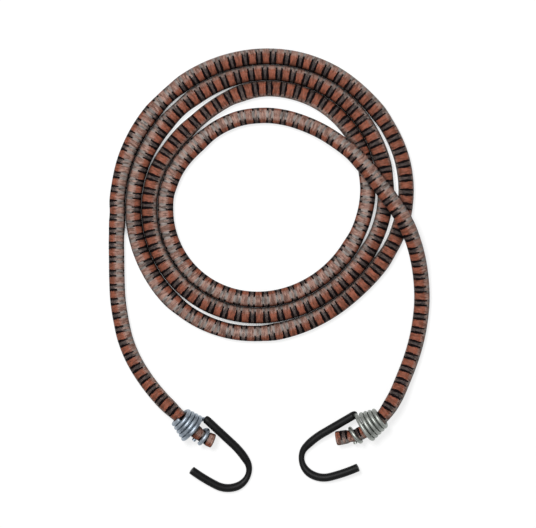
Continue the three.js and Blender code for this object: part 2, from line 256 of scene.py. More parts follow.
# Clip
CLIP_WIRE_RADIUS = 0.00138
CLIP_RADIUS = 0.00531
CLIP_LEAD = 0.004
CLIP_SWEEP = math.radians(340)
CLIP_LEG = 0.0010
CLIP_EDGE = 0.0009
CLIP_STEPS = 48

# Tubes: a direction that none starts along, how full a rounded edge is, and the angle of a sharp one
FIRST_SIDE = (0.3, 0.5, 0.8)
EDGE_FULLNESS = 0.3
EDGE_ANGLE = math.radians(35)

# Yarns: how many each way, what each is made of, and the colour from each yarn of a repeat on
YARNS_EACH_WAY = 16
ENDS_PER_YARN = 4
FIBRES_PER_YARN = 6
YARNS_PER_STREAK = 2
ORANGE = (0.325, 0.113, 0.068, 1)
GREY = (0.092, 0.074, 0.07, 1)
BLACK = (0.006, 0.003, 0.0035, 0)
YARN_ORDER = ((0, ORANGE), (6.8, BLACK), (10.1, GREY), (12.7, BLACK))

# The fine black yarn has an alpha of 0, and past this share of each of its ends the yarn beneath shows
BLACK_SHOWN = 0.5

# Ticks: how far the rings of colour slant with their yarns, and wander along the cord, in yarns
TICK_SLANT = 0.6
TICK_WANDER = 1.6
WANDER_NOISE = (3, 2)

# The braid looks the same on two opposite sides, so an angle that goes round twice tells where a side is
ROUND_TWICE = 4 * math.pi

# Filler: pale ends that cover two sides of the cord, from the one limit to the other on the way round
FILLER = (0.41, 0.296, 0.252, 1)
FILLER_ON_BLACK = (0.335, 0.308, 0.288, 1)
FILLER_LIMITS = (0.25, -0.5)
FILLER_SHARE = (0.04, 0.72)
TICK_LIMITS = (-0.45, -0.7)

# Shade of the braid: painted shade across each yarn, darker towards its edges, then its own tone by fibre,
# where worn, by streak on yarn and on filler, and its rust
YARN_ROUNDNESS = 1.6
FIBRE_NOISE = (1, 3)
FIBRE_SHADE = (0.8, 1.2)
WORN_NOISE = (60, 4)
WORN_SHADE = (0.92, 1.06)
STREAK_SHADE = (0.4, 0.5)
STREAK_COVER = (0.6, 1.2)
RUST = (0.27, 0.085, 0.040, 1)
RUST_SHARE = 0.3

# Painted shade in the hollows between loops: how near the next loop is, how open they are, and how dark the
# braid is painted there
HOLLOW = 0.006
HOLLOW_LIMITS = (0.3, 0.9)
PAINTED_HOLLOW_SHADE = 0.08

# Surface of the braid
BLACK_ROUGHNESS = 0.85
YARN_ROUGHNESS = (0.4, 0.54)
FILLER_ROUGHNESS = 0.3
BRAID_GLOSS = 0.08
FIBRE_HEIGHT = 0.35
BRAID_BUMP = (0.6, 0.00012)

# Zinc plate, of which each end has its own dull and bright colour
ZINC = {
    "left": ((0.24, 0.28, 0.33, 1), (0.46, 0.52, 0.58, 1)),
    "right": ((0.28, 0.30, 0.28, 1), (0.44, 0.46, 0.43, 1)),
}
ZINC_CLOUD = (240, 4)
ZINC_ROUGHNESS = (0.42, 0.56)
ZINC_MARKS = (1600, 2)
ZINC_BUMP = (0.25, 0.00008)

# Black vinyl
VINYL = (0.002, 0.002, 0.0022, 1)
VINYL_SCUFFED = (0.006, 0.006, 0.0065, 1)
VINYL_SCUFF = (350, 5)
VINYL_ROUGHNESS = (0.42, 0.56)
VINYL_GLOSS = 0.2
VINYL_PEBBLE = (2200, 3)
VINYL_BUMP = (0.35, 0.00015)

# Rubber
RUBBER = (0.34, 0.24, 0.13, 1)
RUBBER_DUSTED = (0.55, 0.44, 0.30, 1)
RUBBER_DUST = (900, 4)
RUBBER_ROUGHNESS = (0.6, 0.8)
RUBBER_BUMP = (0.3, 0.0001)

# Textures: the middle part of a noise that is spread over a range, and the rays that look for hollows
NOISE_LIMITS = (0.3, 0.7)
HOLLOW_RAYS = 8

# Camera
VIEW_WIDTH = 0.35733
VIEW_CENTRE = (-0.00033, 0.00367)
LENS = 150
SENSOR = 36
CLIP_END = 20

# Floor: its colour and glow where it is seen, its colour where it throws light back, and the painted shade
# in its narrow crevices
FLOOR_HALF = 4.0
FLOOR_SEEN = (0.3, 0.3, 0.3, 1)
FLOOR_GLOW = 0.76
FLOOR_BOUNCE = (0.05, 0.05, 0.05, 1)
FLOOR_CREVICE_SHADE = 0.005
FLOOR_LIT_LIMITS = (0.12, 0.24)

# Light: each lamp's place, size and watts, and the sky's level as light and in mirrors
LAMPS = {
    "key": ((-0.4, 0.45, 1.75), 0.5, 24),
    "fill": ((0.2, -0.2, 2.2), 1.6, 10),
}
SKY_LIGHT = 0.1
SKY_MIRRORED = 0.4
WHITE = (1, 1, 1, 1)

UP = Vector((0, 0, 1))


def smooth_step(low, high, value):
    share = np.clip((value - low) / (high - low), 0, 1)
    return share * share * (3 - 2 * share)


def unit_rows(vectors):
    return vectors / np.linalg.norm(vectors, axis=1)[:, None]


def make_object(name, data):
    obj = bpy.data.objects.new(name, data)
    bpy.context.scene.collection.objects.link(obj)
    return obj


# Camera
def add_camera():
    data = bpy.data.cameras.new("camera")
    data.lens = LENS
    data.sensor_width = SENSOR
    data.clip_end = CLIP_END
    camera = make_object("camera", data)
    camera.location = (*VIEW_CENTRE, REST_HEIGHT + VIEW_WIDTH * LENS / SENSOR)
    bpy.context.scene.camera = camera


# Route of the whole cord, from the left cut end round the coil to the right cut end
def end_frame(side):
    """The frame of an end: along its spring to the hook, across to the shank, and normal to the hook."""
    joint = next(j for j in frame["record"]["behaviour"]["joints"] if j["name"] == f"{side}_swivel")
    along = Vector(joint["axis"]).normalized()
    if along.z > 0:
        along.negate()
    across = UP.cross(along).normalized() * ENDS[side]["over"]
    normal = along.cross(across)
    matrix = Matrix((along, across, normal)).transposed().to_4x4()
    matrix.translation = Vector(joint["pos_m"])
    return matrix


def stub_sway(side, x):
    """How far a stub lies off its spring's axis, towards the shank."""
    cut_at = ENDS[side]["cut_at"]
    share = max(0, (x - SPRING_LENGTH) / (cut_at - SPRING_LENGTH))
    return STUB_SWAY * share * share + ENDS[side]["bow"] * math.sin(math.pi * x / cut_at) ** 2


def stub_points(side):
    matrix = end_frame(side)
    places = [ENDS[side]["cut_at"] * i / STUB_STEPS for i in range(STUB_STEPS + 1)]
    return [matrix @ Vector((x, stub_sway(side, x), 0)) for x in places]


def swell(turns):
    total = 0
    for at, reach, out in COIL_SWELLS:
        share = min(abs(turns - at) / reach, 1)
        total += out * math.cos(share * math.pi / 2) ** 2
    return total


def coil_points():
    points = []
    for i in range(COIL_TURNS * STEPS_PER_LOOP + 1):
        turns = i / STEPS_PER_LOOP
        angle = math.pi - 2 * math.pi * turns
        oval = COIL_OVAL * math.cos(2 * (angle - COIL_OVAL_HEADING))
        radius = COIL_RADIUS - COIL_PITCH * turns + oval + swell(turns)
        points.append(Vector((
            COIL_CENTRE[0] + radius * math.cos(angle),
            COIL_CENTRE[1] + radius * math.sin(angle),
            REST_HEIGHT,
        )))
    inner = Vector((math.cos(INNER_END_HEADING), math.sin(INNER_END_HEADING), 0))
    points.insert(0, points[0] - Vector((0, COIL_END_RUN, 0)))
    points.append(points[-1] + inner * COIL_END_RUN)
    return points


def tail_points(chosen):
    return [Vector((x, y, REST_HEIGHT + rise * CORD_DIAMETER)) for x, y, rise in chosen]


def curve_span(a, b, c, d, count):
    """Points from b to c on the centripetal Catmull-Rom curve through a, b, c and d."""
    knots = np.cumsum([0] + [math.sqrt(np.linalg.norm(q - p)) for p, q in ((a, b), (b, c), (c, d))])
    t = np.linspace(knots[1], knots[2], count, endpoint=False)[:, None]

    def mix(p, q, low, high):
        return p + (q - p) * (t - knots[low]) / (knots[high] - knots[low])

    first, middle, last = mix(a, b, 0, 1), mix(b, c, 1, 2), mix(c, d, 2, 3)
    return mix(mix(first, middle, 0, 2), mix(middle, last, 1, 3), 1, 2)


def smooth_curve(points, step):
    points = [np.array(p) for p in points]
    points = [2 * points[0] - points[1], *points, 2 * points[-1] - points[-2]]
    spans = []
    for a, b, c, d in zip(points, points[1:], points[2:], points[3:]):
        count = max(2, math.ceil(np.linalg.norm(c - b) / step))
        spans.append(curve_span(a, b, c, d, count))
    return np.vstack([*spans, points[-2]])


def lengths_along(points):
    return np.concatenate([[0], np.cumsum(np.linalg.norm(np.diff(points, axis=0), axis=1))])


def points_at(points, places):
    along = lengths_along(points)
    return np.stack([np.interp(places, along, points[:, axis]) for axis in range(3)], axis=1)


class Route:
    """Ring places along the cord, with the frame and the half sizes of the section at each."""

    def __init__(self):
        coil = coil_points()
        left = [*reversed(stub_points("left")), *reversed(tail_points(LEFT_TAIL))]
        right = [*tail_points(RIGHT_TAIL), *stub_points("right")]
        line = smooth_curve([*left, *coil, *right], ROUTE_STEP)
        line[:, 2] = np.maximum(line[:, 2], REST_HEIGHT)
        self.step = BRAID_REPEAT / RINGS_PER_REPEAT
        self.count = int(lengths_along(line)[-1] / self.step) + 1
        self.places = np.arange(self.count) * self.step
        self.centres = points_at(line, self.places)
        self.tangents = unit_rows(np.gradient(self.centres, axis=0))
        self.across = unit_rows(np.cross(np.array(UP), self.tangents))
        self.up = np.cross(self.tangents, self.across)
        self.coil_start = self.ring_at(coil[0])
        self.coil_end = self.ring_at(coil[-1])
        shares, degrees = zip(*TWIST)
        self.twist = np.radians(np.interp(self.places / self.places[-1], shares, degrees))
        self.size_sections()

    def ring_at(self, point):
        return int(np.argmin(np.linalg.norm(self.centres - np.array(point), axis=1)))

    def widths_to_neighbours(self):
        """Half the way to the loop alongside, where that is near enough for the two to press together."""
        widths = np.full(self.count, HALF_WIDTH)
        apart = round(APART_ALONG / self.step)
        for ring in range(self.count):
            others = np.abs(np.arange(self.count) - ring) > apart
            nearest = np.linalg.norm(self.centres[others] - self.centres[ring], axis=1).min()
            if nearest < 2 * TOUCHING_WIDTH:
                widths[ring] = (nearest - TOUCHING_GAP) / 2
        reach = RINGS_PER_REPEAT // 2
        run = np.ones(RINGS_PER_REPEAT) / RINGS_PER_REPEAT
        smoothed = np.convolve(np.pad(widths, reach, mode="edge"), run, "same")
        return smoothed[reach:-reach]

    def size_sections(self):
        """Flat where the cord lies, round where it rises, necked in the springs and under the clips."""
        resting = 1 - smooth_step(0, LIFTED, self.centres[:, 2] - REST_HEIGHT)
        self.half_width = self.widths_to_neighbours()
        self.half_height = CORD_RADIUS + (REST_HALF_HEIGHT - CORD_RADIUS) * resting
        self.lift = REST_LIFT * resting
        self.neck_end("left", self.places)
        self.neck_end("right", self.places[-1] - self.places)

    def neck_end(self, side, from_cut):
        """Draw an end in through its spring, pinch it under its clip and let it flare to the cut."""
        mouth = ENDS[side]["cut_at"]
        clip = mouth - ENDS[side]["clip_at"]
        from_clip = np.abs(from_cut - clip)
        necked = 1 - smooth_step(mouth, mouth + NECK_RUN, from_cut)
        pinched = 1 - smooth_step(PINCH_HALF_LENGTH, PINCH_HALF_LENGTH + PINCH_RUN_OUT, from_clip)
        flare = 1 - smooth_step(0, clip, from_cut)
        neck = NECK_RADIUS + (CUT_RADIUS - NECK_RADIUS) * flare
        neck = neck + (PINCH_RADIUS - neck) * pinched
        self.half_width += (neck - self.half_width) * necked
        self.half_height += (neck - self.half_height) * necked
        self.lift *= 1 - necked

    def cut_end(self, side):
        """The ring at a cut end, and whether it faces on or back along the route."""
        return (0, -1) if side == "left" else (self.count - 1, 1)

    def path(self, first, last):
        rings = [*range(first, last, PATH_STEP), last]
        lifted = self.centres[rings] + np.array(UP) * self.lift[rings][:, None]
        return lifted.tolist()


add_camera()
route = Route()


# Sheath: a lattice of raised yarn crossings, whose corners carry the place in the braid
def ring_steps(rings):
    """The round steps of each ring's corners, of which every second ring starts half a corner on."""
    return 2 * np.arange(RING_SIDES)[None, :] + (rings % 2)[:, None]


def ring_corners(rings):
    """The corners of rings: raised where a yarn crosses over, half raised beside it, low where it dips."""
    steps = ring_steps(rings)
    angles = np.pi * steps / RING_SIDES - route.twist[rings][:, None]
    crossing = (steps % 2 == 0) & ((steps + rings[:, None]) % 4 == 2)
    raised = np.where(steps % 2 == 1, 0.5, np.where(crossing, 1.0, 0.0))
    wide = (route.half_width[rings][:, None] + RELIEF * raised) * np.cos(angles)
    high = (route.half_height[rings][:, None] + RELIEF * raised) * np.sin(angles)
    corners = route.centres[rings][:, None, :] + np.array(UP) * route.lift[rings][:, None, None]
    corners = corners + route.across[rings][:, None, :] * wide[..., None]
    corners = corners + route.up[rings][:, None, :] * high[..., None]
    corners[..., 2] = np.maximum(corners[..., 2], FLOOR_TOUCH)
    return corners


def lattice_faces(rings):
    """Diamonds along the sheath and triangles at its ends, each corner as (ring, round step)."""
    last = rings[-1]
    faces = []
    for ring in rings:
        for step in range(ring % 2, ROUND_STEPS, 2):
            if ring <= last - 2:
                faces.append(((ring, step), (ring + 1, step + 1), (ring + 2, step), (ring + 1, step - 1)))
            if ring == rings[0]:
                faces.append(((ring, step), (ring, step + 2), (ring + 1, step + 1)))
            if ring == last:
                faces.append(((ring, step), (ring - 1, step + 1), (ring, step + 2)))
    return faces


class Sheath:
    """The mesh of the sheath between two rings, with the place in the braid at each face's corners."""

    def __init__(self, first, last):
        self.first = first
        rings = np.arange(first, last + 1)
        self.vertices = ring_corners(rings).reshape(-1, 3).tolist()
        self.faces = []
        self.places = []
        for corners in lattice_faces(rings.tolist()):
            self.add_face([self.vertex(*corner) for corner in corners], corners)

    def vertex(self, ring, step):
        return int((ring - self.first) * RING_SIDES + (step % ROUND_STEPS) // 2)

    def add_face(self, vertices, corners):
        self.faces.append(vertices)
        self.places.extend((ring / RINGS_PER_REPEAT, step / ROUND_STEPS, 0) for ring, step in corners)

    def close_end(self, ring, facing, rims):
        """Turn an end in over its rims, if it has any, and close it flat."""
        steps = range(ring % 2, ROUND_STEPS, 2)
        edge = [self.vertex(ring, step) for step in steps]
        outline = np.array([self.vertices[i] for i in edge])
        middle = outline.mean(axis=0)
        outward = route.tangents[ring] * facing
        for scale, out in rims:
            start = len(self.vertices)
            self.vertices.extend((middle + (outline - middle) * scale + outward * out).tolist())
            inner = list(range(start, start + RING_SIDES))
            for i, step in enumerate(steps):
                j = (i + 1) % RING_SIDES
                self.add_face([edge[i], edge[j], inner[j], inner[i]][::facing], [(ring, step)] * 4)
            edge = inner
        hub = len(self.vertices)
        self.vertices.append(np.array([self.vertices[i] for i in edge]).mean(axis=0).tolist())
        for i, step in enumerate(steps):
            self.add_face([edge[i], edge[(i + 1) % RING_SIDES], hub][::facing], [(ring, step)] * 3)

    def make(self, name):
        mesh = bpy.data.meshes.new(name)
        mesh.from_pydata(self.vertices, [], self.faces)
        places = np.array(self.places, dtype=np.float32)
        mesh.attributes.new("braid", "FLOAT_VECTOR", "CORNER").data.foreach_set("vector", places.ravel())
        mesh.shade_smooth()
        return make_object(name, mesh)


def sheath_piece(name, first, last, cut_ring=None):
    """The sheath between two rings. A cut end turns in over its own wall, any other is closed flat."""
    sheath = Sheath(first, last)
    for ring, facing in ((first, -1), (last, 1)):
        sheath.close_end(ring, facing, CUT_RIMS if ring == cut_ring else ())
    return sheath.make(name)


# Wires and tubes
def tube_piece(name, points, radii, sides):
    """A round tube along the points, with flat ends, turning as little as it can."""
    points = np.array(points)
    tangents = unit_rows(np.gradient(points, axis=0))
    angles = 2 * np.pi * np.arange(sides) / sides
    side = np.cross(tangents[0], np.array(FIRST_SIDE))
    vertices = []
    for point, tangent, radius in zip(points, tangents, radii):
        side = side - tangent * np.dot(side, tangent)
        side /= np.linalg.norm(side)
        other = np.cross(tangent, side)
        ring = np.cos(angles)[:, None] * side + np.sin(angles)[:, None] * other
        vertices.extend((point + radius * ring).tolist())
    faces = []
    for i in range(len(points) - 1):
        for j in range(sides):
            k = (j + 1) % sides
            faces.append([i * sides + j, i * sides + k, (i + 1) * sides + k, (i + 1) * sides + j])
    faces.append(list(range(sides))[::-1])
    faces.append([(len(points) - 1) * sides + j for j in range(sides)])
    mesh = bpy.data.meshes.new(name)
    mesh.from_pydata(vertices, [], faces)
    mesh.shade_smooth()
    mesh.set_sharp_from_angle(angle=EDGE_ANGLE)
    return make_object(name, mesh)


def cut_ends(points, radius, edge):
    """The points and radii of a tube whose two ends are cut square, with the edge taken off."""
    points = np.array(points)
    along = lengths_along(points)
    length = along[-1]
    inside = along[(along > 2 * edge) & (along < length - 2 * edge)]
    rounded = np.array([0, edge * EDGE_FULLNESS, edge])
    places = np.concatenate([rounded, inside, length - rounded[::-1]])
    radii = np.full(len(places), radius)
    radii[0] = radii[-1] = radius - edge
    radii[1] = radii[-2] = radius - edge * EDGE_FULLNESS
    return points_at(points, places), radii


def placed(matrix, points):
    return [matrix @ Vector(p) for p in points]


# Hooks
def spring_line():
    points = []
    steps = round(SPRING_TURNS * SPRING_STEPS)
    for i in range(steps + 1):
        share = i / steps
        radius = SPRING_NARROW + (SPRING_WIDE - SPRING_NARROW) * share
        angle = SPRING_EXIT_ANGLE - 2 * math.pi * SPRING_TURNS * (1 - share)
        points.append(Vector((SPRING_LENGTH * share, radius * math.cos(angle), radius * math.sin(angle))))
    return points


def spring_exit(start):
    """The bend in which the wire leaves the last turn and runs into the shank."""
    along = Vector((0, -math.sin(SPRING_EXIT_ANGLE), math.cos(SPRING_EXIT_ANGLE)))
    end = Vector((SHANK_START, SHANK_OFFSET, 0))
    pulls = (start, start + along * SPRING_EXIT_PULL, end - Vector((SPRING_EXIT_PULL, 0, 0)), end)
    points = []
    for i in range(1, SPRING_EXIT_STEPS):
        t = i / SPRING_EXIT_STEPS
        weights = ((1 - t) ** 3, 3 * t * (1 - t) ** 2, 3 * t * t * (1 - t), t ** 3)
        points.append(sum((p * w for p, w in zip(pulls, weights)), Vector()))
    return points


def hook_line(arm_length):
    """Shank, bends and tip arm, which the wire and its sleeve share, and the end of the tight bend."""
    shank_step = (SHANK_END - SHANK_START) / SHANK_STEPS
    shank = [SHANK_START + shank_step * i for i in range(SHANK_STEPS + 1)]
    line = [Vector((x, SHANK_OFFSET, 0)) for x in shank]
    bends = {
        "shoulder": SHOULDER_BEND,
        "tight": TIGHT_BEND,
        "crown": CROWN_BEND,
        "wide": WIDE_BEND,
        "arm": (ARM_RADIUS, math.degrees(arm_length / ARM_RADIUS)),
    }
    ends = {}
    heading = 0
    for name, (radius, turn) in bends.items():
        steps = math.ceil(radius * math.radians(turn) / BEND_STEP)
        step = math.radians(turn) / steps
        chord = 2 * radius * math.sin(step / 2)
        for _ in range(steps):
            middle = heading - step / 2
            line.append(line[-1] + chord * Vector((math.cos(middle), math.sin(middle), 0)))
            heading -= step
        ends[name] = line[-1]
    return line, ends["tight"]


def hook_wire(side):
    spring = spring_line()
    bare, _ = hook_line(ARM_LENGTH - WIRE_SHORT)
    line = [*spring, *spring_exit(spring[-1]), *bare]
    points, radii = cut_ends(placed(end_frame(side), line), WIRE_RADIUS, WIRE_EDGE)
    return tube_piece(f"spring_hook_{side}", points, radii, WIRE_SIDES)


def hook_sleeve(side):
    matrix = end_frame(side)
    leaving = spring_exit(spring_line()[-1])
    covered, thinnest = hook_line(ARM_LENGTH)
    line = [*leaving[-SLEEVE_EXIT_POINTS:], *covered]
    points, radii = cut_ends(placed(matrix, line), SLEEVE_RADIUS, SLEEVE_EDGE)
    away = np.linalg.norm(points - np.array(matrix @ thinnest), axis=1)
    near = np.clip(1 - away / SLEEVE_THIN_REACH, 0, 1)
    radii *= 1 - SLEEVE_THINNED * np.sin(near * np.pi / 2) ** 2
    return tube_piece(f"vinyl_sleeve_{side}", points, radii, SLEEVE_SIDES)


# Clips
def clip_piece(side):
    """A ring of wire crimped round the stub, open away from the shank, with two short legs."""
    line = []
    for i in range(CLIP_STEPS + 1):
        from_middle = i / CLIP_STEPS - 0.5
        angle = CLIP_SWEEP * from_middle
        x = ENDS[side]["clip_at"] + CLIP_LEAD * from_middle
        line.append(Vector((x, CLIP_RADIUS * math.cos(angle), CLIP_RADIUS * math.sin(angle))))
    leg = Vector((0, -CLIP_LEG, 0))
    line = [line[0] + leg, line[0] + leg / 2, *line, line[-1] + leg / 2, line[-1] + leg]
    line = [p + Vector((0, stub_sway(side, p.x), 0)) for p in line]
    points, radii = cut_ends(placed(end_frame(side), line), CLIP_WIRE_RADIUS, CLIP_EDGE)
    return tube_piece(f"crimped_clip_{side}", points, radii, WIRE_SIDES)


# Rubber strands in the cut ends
def strand_places():
    """A square grid in which every second row is half a pitch on."""
    rows = range(-STRAND_ROWS, STRAND_ROWS + 1)
    places = []
    for row in rows:
        for column in rows:
            places.append(((column + 0.5 * (row % 2)) * STRAND_PITCH, row * STRAND_ROW_PITCH))
    return places


def square_corners(x, y, turn):
    reach = STRAND_SIDE * math.sqrt(0.5)
    angles = [math.pi / 4 + corner * math.pi / 2 + turn for corner in range(4)]
    return [(x + reach * math.cos(angle), y + reach * math.sin(angle)) for angle in angles]


def strand_ends(side):
    """A bundle of fine square strands, cut off unevenly just past the sheath."""
    ring, facing = route.cut_end(side)
    outward = Vector(route.tangents[ring] * facing)
    across = Vector(route.across[ring])
    up = Vector(route.up[ring])
    middle = Vector(route.centres[ring])
    draw = np.random.default_rng(STRAND_SEED)
    vertices = []
    faces = []
    for x, y in strand_places():
        reach, turn = draw.uniform(-1, 1, 2)
        if math.hypot(x, y) > STRAND_BUNDLE:
            continue
        start = len(vertices)
        for depth in (-STRAND_DEPTH, STRAND_PROUD * (1 + reach)):
            for a, b in square_corners(x, y, turn * STRAND_TURN):
                vertices.append(middle + across * a + up * b + outward * depth)
        faces.extend([start + corner for corner in face][::-facing] for face in STRAND_FACES)
    mesh = bpy.data.meshes.new(f"strand_ends_{side}")
    mesh.from_pydata(vertices, [], faces)
    return make_object(f"strand_ends_{side}", mesh)


# Materials
class Nodes:
    """A new material, and short names for the nodes that it is built from."""

    def __init__(self, name):
        self.material = bpy.data.materials.new(name)
        self.material.use_nodes = True
        self.tree = self.material.node_tree
        self.shader = self.tree.nodes["Principled BSDF"]

    def add(self, kind, inputs=None, **settings):
        node = self.tree.nodes.new(kind)
        for key, value in settings.items():
            setattr(node, key, value)
        for key, value in (inputs or {}).items():
            self.feed(node.inputs[key], value)
        return node

    def feed(self, socket, value):
        if isinstance(value, bpy.types.NodeSocket):
            self.tree.links.new(value, socket)
        else:
            socket.default_value = value

    def math(self, operation, a, b=0.0):
        return self.add("ShaderNodeMath", {0: a, 1: b}, operation=operation).outputs[0]

    def times(self, a, b):
        return self.math("MULTIPLY", a, b)

    def blend(self, share, a, b):
        return self.add("ShaderNodeMix", {0: share, 2: a, 3: b}, data_type="FLOAT").outputs[0]

    def colour(self, share, a, b, blend_type="MIX"):
        node = self.add("ShaderNodeMix", {0: share, 6: a, 7: b}, data_type="RGBA", blend_type=blend_type)
        return node.outputs[2]

    def remap(self, value, limits, low=0.0, high=1.0):
        inputs = {0: value, 1: limits[0], 2: limits[1], 3: low, 4: high}
        return self.add("ShaderNodeMapRange", inputs).outputs[0]

    def spread(self, noise, low=0.0, high=1.0):
        return self.remap(noise, NOISE_LIMITS, low, high)

    def noise(self, texture, vector=None):
        """A noise with the texture's scale and detail, laid over the object unless a vector is given."""
        scale, detail = texture
        if vector is None:
            vector = self.add("ShaderNodeTexCoord").outputs["Object"]
        inputs = {"Scale": scale, "Detail": detail, "Vector": vector}
        return self.add("ShaderNodeTexNoise", inputs).outputs["Fac"]

    def openness(self, distance):
        node = self.add("ShaderNodeAmbientOcclusion", {"Distance": distance}, samples=HOLLOW_RAYS)
        return node.outputs["AO"]

    def bump(self, height, strength, distance):
        node = self.add("ShaderNodeBump", {"Height": height, "Strength": strength, "Distance": distance})
        self.tree.links.new(node.outputs[0], self.shader.inputs["Normal"])

    def set(self, **values):
        for key, value in values.items():
            self.feed(self.shader.inputs[key.replace("_", " ")], value)


class Braid(Nodes):
    """Yarns over and under each way round the cord, in rings of orange, black and grey."""

    def __init__(self):
        super().__init__("braided_sheath")
        self.lay_yarns()
        self.colour_yarns()
        self.add_streaks()
        self.add_filler()
        self.set_colour()
        self.set_surface()

    def lay_yarns(self):
        """The two yarns that cross at a place, which of them is on top, and the place across that one."""
        attribute = self.add("ShaderNodeAttribute", attribute_name="braid", attribute_type="GEOMETRY")
        self.place = attribute.outputs["Vector"]
        split = self.add("ShaderNodeSeparateXYZ", {0: self.place})
        self.along, around = split.outputs[0], split.outputs[1]
        self.one = self.times(self.math("ADD", self.along, around), YARNS_EACH_WAY)
        self.two = self.times(self.math("SUBTRACT", self.along, around), YARNS_EACH_WAY)
        count = self.math("ADD", self.math("FLOOR", self.one), self.math("FLOOR", self.two))
        self.under = self.math("FLOORED_MODULO", count, 2.0)
        self.top = self.blend(self.under, self.one, self.two)
        self.end = self.math("FRACT", self.times(self.top, ENDS_PER_YARN))
        self.turned = self.times(around, ROUND_TWICE)
        self.sideways = self.math("COSINE", self.turned)

    def yarn_colour(self, place):
        """The colour of the yarn at a place counted in yarns, with its thickness as alpha."""
        turn = self.math("FLOORED_MODULO", self.math("DIVIDE", place, YARNS_EACH_WAY), 1.0)
        ramp = self.add("ShaderNodeValToRGB", {0: turn})
        ramp.color_ramp.interpolation = "CONSTANT"
        stops = ramp.color_ramp.elements
        stops.remove(stops[1])
        for first_yarn, colour in YARN_ORDER[1:]:
            stops.new(first_yarn / YARNS_EACH_WAY).color = colour
        stops[0].position, stops[0].color = YARN_ORDER[0]
        return ramp.outputs["Color"], ramp.outputs["Alpha"]

    def colour_yarns(self):
        """Rings of colour that wander along the cord, and slant with the yarn that carries them."""
        wander = self.math("SUBTRACT", self.noise(WANDER_NOISE, self.place), 0.5)
        band = self.math("ADD", self.times(self.along, YARNS_EACH_WAY), self.times(wander, TICK_WANDER))
        slant = self.times(self.math("SINE", self.turned), TICK_SLANT * YARNS_EACH_WAY / ROUND_TWICE)
        slant = self.times(slant, self.math("SUBTRACT", 1.0, self.times(self.under, 2.0)))
        upper, self.upper_solid = self.yarn_colour(self.math("ADD", band, slant))
        lower, lower_solid = self.yarn_colour(self.math("SUBTRACT", band, slant))
        shown = self.math("MAXIMUM", self.upper_solid, self.math("LESS_THAN", self.end, BLACK_SHOWN))
        self.yarns = self.colour(shown, lower, upper)
        self.solid = self.math("MAXIMUM", self.upper_solid, lower_solid)

    def add_streaks(self):
        """A value by chance for each patch of a few yarns, and the fine fibres along a yarn."""
        row = self.math("FLOOR", self.math("DIVIDE", self.one, YARNS_PER_STREAK))
        column = self.math("FLOOR", self.math("DIVIDE", self.two, YARNS_PER_STREAK))
        patch = self.add("ShaderNodeCombineXYZ", {0: row, 1: column}).outputs[0]
        chance = self.add("ShaderNodeTexWhiteNoise", {"Vector": patch}, noise_dimensions="2D")
        self.streak = chance.outputs["Value"]
        beneath = self.blend(self.under, self.two, self.one)
        across = self.times(self.top, FIBRES_PER_YARN)
        fibre_place = self.add("ShaderNodeCombineXYZ", {0: across, 1: beneath}).outputs[0]
        self.fibre = self.noise(FIBRE_NOISE, fibre_place)
        # The crown of each yarn, which raises its bump and paints shade towards its edges
        from_middle = self.math("ABSOLUTE", self.math("SUBTRACT", self.math("FRACT", self.top), 0.5))
        drop = self.times(self.math("POWER", from_middle, 2.0), YARN_ROUNDNESS)
        self.crown = self.math("SUBTRACT", 1.0, drop)

    def add_filler(self):
        """Pale ends on two sides of the cord, which leave the black ticks clear for longer."""
        self.filler = self.remap(self.sideways, FILLER_LIMITS, *FILLER_SHARE)
        cover = self.times(self.filler, self.blend(self.streak, *STREAK_COVER))
        cover = self.blend(self.solid, self.remap(self.sideways, TICK_LIMITS), cover)
        self.covered = self.math("LESS_THAN", self.end, cover)
        pale = self.colour(self.upper_solid, FILLER_ON_BLACK, FILLER)
        self.yarns = self.colour(self.covered, self.yarns, pale)

    def set_colour(self):
        # Painted shade across each yarn from its crown, times the yarns' own tone by fibre, wear and streak
        shade = self.times(self.crown, self.spread(self.fibre, *FIBRE_SHADE))
        shade = self.times(shade, self.spread(self.noise(WORN_NOISE), *WORN_SHADE))
        uneven = self.times(self.blend(self.filler, *STREAK_SHADE), 2.0)
        streak_shade = self.times(self.math("SUBTRACT", self.streak, 0.5), uneven)
        shade = self.times(shade, self.math("ADD", streak_shade, 1.0))
        # Painted shade: the braid is darkened where the next loop is near, as in the hollows between loops
        shade = self.times(shade, self.remap(self.openness(HOLLOW), HOLLOW_LIMITS, PAINTED_HOLLOW_SHADE, 1.0))
        grey = self.add("ShaderNodeCombineColor", {0: shade, 1: shade, 2: shade}).outputs[0]
        rusty = self.colour(self.times(self.streak, RUST_SHARE), self.yarns, RUST, "SOFT_LIGHT")
        self.set(Base_Color=self.colour(1.0, rusty, grey, "MULTIPLY"))

    def set_surface(self):
        dull = self.blend(self.solid, BLACK_ROUGHNESS, self.spread(self.fibre, *YARN_ROUGHNESS))
        self.set(Roughness=self.blend(self.covered, dull, FILLER_ROUGHNESS), Specular_IOR_Level=BRAID_GLOSS)
        self.bump(self.math("ADD", self.crown, self.times(self.fibre, FIBRE_HEIGHT)), *BRAID_BUMP)


def zinc_material(side):
    """Satin zinc plate, duller in patches and with fine drawing marks, bluer on the left."""
    zinc = Nodes(f"zinc_wire_{side}")
    cloud = zinc.noise(ZINC_CLOUD)
    zinc.set(Base_Color=zinc.colour(zinc.spread(cloud), *ZINC[side]))
    zinc.set(Metallic=1.0, Roughness=zinc.spread(cloud, *ZINC_ROUGHNESS))
    zinc.bump(zinc.noise(ZINC_MARKS), *ZINC_BUMP)
    return zinc.material


def vinyl_material():
    """Satin black vinyl with a fine pebble and paler scuffs."""
    vinyl = Nodes("black_vinyl")
    scuff = vinyl.noise(VINYL_SCUFF)
    vinyl.set(Base_Color=vinyl.colour(vinyl.spread(scuff), VINYL, VINYL_SCUFFED))
    vinyl.set(Roughness=vinyl.spread(scuff, *VINYL_ROUGHNESS), Specular_IOR_Level=VINYL_GLOSS)
    vinyl.bump(vinyl.noise(VINYL_PEBBLE), *VINYL_BUMP)
    return vinyl.material


